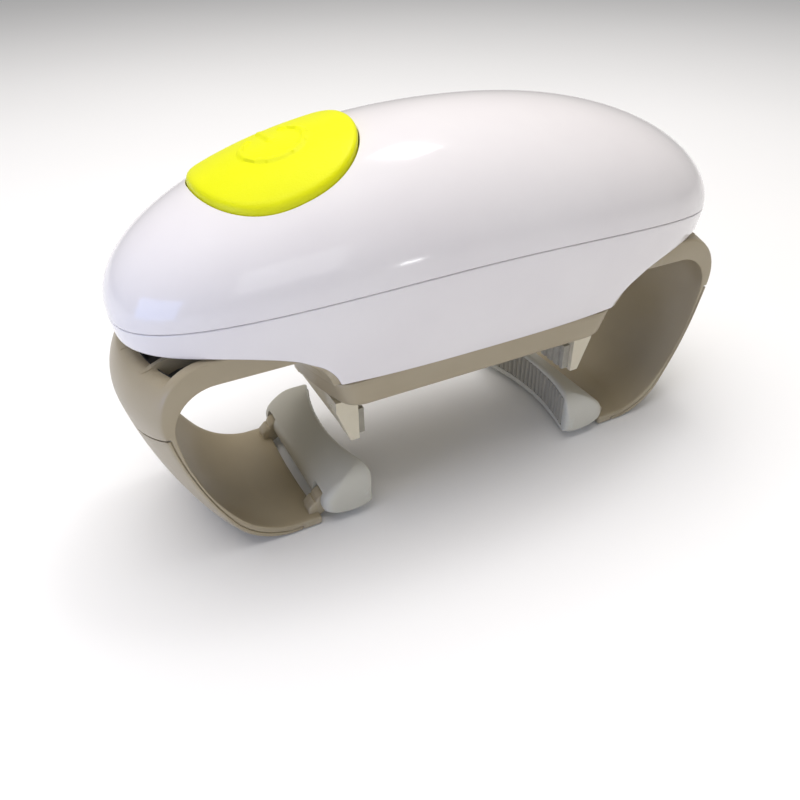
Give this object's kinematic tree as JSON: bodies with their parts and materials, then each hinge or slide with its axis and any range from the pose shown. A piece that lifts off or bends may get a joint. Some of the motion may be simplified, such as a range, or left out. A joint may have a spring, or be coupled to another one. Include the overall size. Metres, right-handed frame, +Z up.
{
  "type": "automatic jar opener",
  "caption": "Battery-powered automatic jar opener with a domed housing, a round start button, sliding C-shaped arms with jar paddles, and lid jaws on a turntable.",
  "frame": {"origin": "centre of the bottom of the bounding box, on the surface that the arms' feet stand on, on the jar's axis", "axes": "+X along the housing, from the button's end to the battery end; +Y across it, to the battery hatch's side; +Z up"},
  "size_m": [0.1858, 0.0706, 0.1045],
  "materials": {
    "gloss_white": "glossy moulded plastic",
    "lime": "fine-grained soft plastic",
    "taupe": "satin moulded plastic",
    "cream": "satin moulded plastic",
    "paddle_plastic": "soft satin plastic",
    "grip_rubber": "matte rubber",
    "dark_plastic": "matte moulded plastic",
    "gear_plastic": "natural acetal",
    "steel": "plain steel",
    "brass": "turned brass",
    "board_green": "lacquered board",
    "cell_wrap": "printed wrap, plain"
  },
  "bodies": {
    "housing": {"upper_housing": "gloss_white", "lower_housing": "gloss_white", "base_plate": "taupe", "guide_plate": "dark_plastic", "gearbox_base": "dark_plastic", "gearbox_cover": "dark_plastic", "shaft_bush": "brass", "button_guide": "dark_plastic", "button_spring": "steel", "circuit_board": "board_green", "micro_switch": "dark_plastic", "motor": "steel", "battery_cells": "cell_wrap", "battery_cradle": "dark_plastic", "battery_contacts": "steel", "housing_screws": "steel", "base_screws": "steel", "chassis_screws": "steel", "gearbox_screws": "steel", "gear_axles": "steel"},
    "battery_door": {"battery_door": "gloss_white"},
    "start_button": {"start_button": "lime"},
    "turntable": {"turntable": "taupe", "jaw_carrier": "taupe", "carrier_screws": "steel", "drive_shaft": "steel", "drive_gear": "gear_plastic", "clutch_spring": "steel"},
    "arm_pinion": {"arm_pinion": "gear_plastic"},
    "second_gear": {"second_gear": "gear_plastic"},
    "first_gear": {"first_gear": "gear_plastic"},
    "motor_pinion": {"motor_pinion": "brass"},
    "jaw_pinion": {"jaw_pinion": "gear_plastic"},
    "left_arm": {"left_arm": "taupe", "left_arm_cover": "taupe", "left_hinge_pin": "steel"},
    "left_paddle": {"left_paddle": "paddle_plastic", "left_paddle_pad": "grip_rubber"},
    "left_jaw": {"left_jaw": "cream", "left_jaw_pad": "grip_rubber"},
    "right_arm": {"right_arm": "taupe", "right_arm_cover": "taupe", "right_hinge_pin": "steel"},
    "right_paddle": {"right_paddle": "paddle_plastic", "right_paddle_pad": "grip_rubber"},
    "right_jaw": {"right_jaw": "cream", "right_jaw_pad": "grip_rubber"}
  },
  "joints": [
    {"name": "battery_door_pull", "type": "slide", "parent": "housing", "child": "battery_door", "axis": [0, 1, 0], "range_m": [0, 0.03]},
    {"name": "start_button_press", "type": "slide", "parent": "housing", "child": "start_button", "axis": [0, 0, -1], "range_m": [0, 0.002], "stiffness_N_per_m": 400, "springref_m": -0.003, "deforming": ["button_spring"]},
    {"name": "left_arm_slide", "type": "slide", "parent": "housing", "child": "left_arm", "axis": [1, 0, 0], "range_m": [-0.006, 0.02]},
    {"name": "right_arm_slide", "type": "slide", "parent": "housing", "child": "right_arm", "axis": [-1, 0, 0], "range_m": [-0.006, 0.02]},
    {"name": "arm_pinion_spin", "type": "hinge", "parent": "housing", "child": "arm_pinion", "pos_m": [0, 0, 0.057], "axis": [0, 0, 1], "range_deg": [-128, 39]},
    {"name": "left_paddle_swivel", "type": "hinge", "parent": "left_arm", "child": "left_paddle", "pos_m": [-0.0474, 0, 0.0056], "axis": [0, -1, 0], "range_deg": [0, 10]},
    {"name": "right_paddle_swivel", "type": "hinge", "parent": "right_arm", "child": "right_paddle", "pos_m": [0.0474, 0, 0.0056], "axis": [0, 1, 0], "range_deg": [0, 10]},
    {"name": "turntable_spin", "type": "hinge", "parent": "housing", "child": "turntable", "pos_m": [0, 0, 0.04], "axis": [0, 0, 1], "continuous": true},
    {"name": "second_gear_spin", "type": "hinge", "parent": "housing", "child": "second_gear", "pos_m": [-0.024, 0.007, 0.066], "axis": [0, 0, 1], "continuous": true},
    {"name": "first_gear_spin", "type": "hinge", "parent": "housing", "child": "first_gear", "pos_m": [-0.0132, -0.0074, 0.069], "axis": [0, 0, 1], "continuous": true},
    {"name": "motor_pinion_spin", "type": "hinge", "parent": "housing", "child": "motor_pinion", "pos_m": [-0.0004, 0.0022, 0.071], "axis": [0, 0, 1], "continuous": true},
    {"name": "left_jaw_slide", "type": "slide", "parent": "turntable", "child": "left_jaw", "axis": [1, 0, 0], "range_m": [-0.003, 0.019]},
    {"name": "right_jaw_slide", "type": "slide", "parent": "turntable", "child": "right_jaw", "axis": [-1, 0, 0], "range_m": [-0.003, 0.019]},
    {"name": "jaw_pinion_spin", "type": "hinge", "parent": "turntable", "child": "jaw_pinion", "pos_m": [0, 0, 0.0365], "axis": [0, 0, 1], "range_deg": [-219, 35]}
  ],
  "couplings": [
    {"joint": "right_arm_slide", "follows": "left_arm_slide", "ratio": 1},
    {"joint": "arm_pinion_spin", "follows": "left_arm_slide", "rad_per_m": -111.11},
    {"joint": "right_jaw_slide", "follows": "left_jaw_slide", "ratio": 1},
    {"joint": "jaw_pinion_spin", "follows": "left_jaw_slide", "rad_per_m": -200},
    {"joint": "second_gear_spin", "follows": "turntable_spin", "ratio": -4},
    {"joint": "first_gear_spin", "follows": "turntable_spin", "ratio": 14},
    {"joint": "motor_pinion_spin", "follows": "turntable_spin", "ratio": -42}
  ]
}
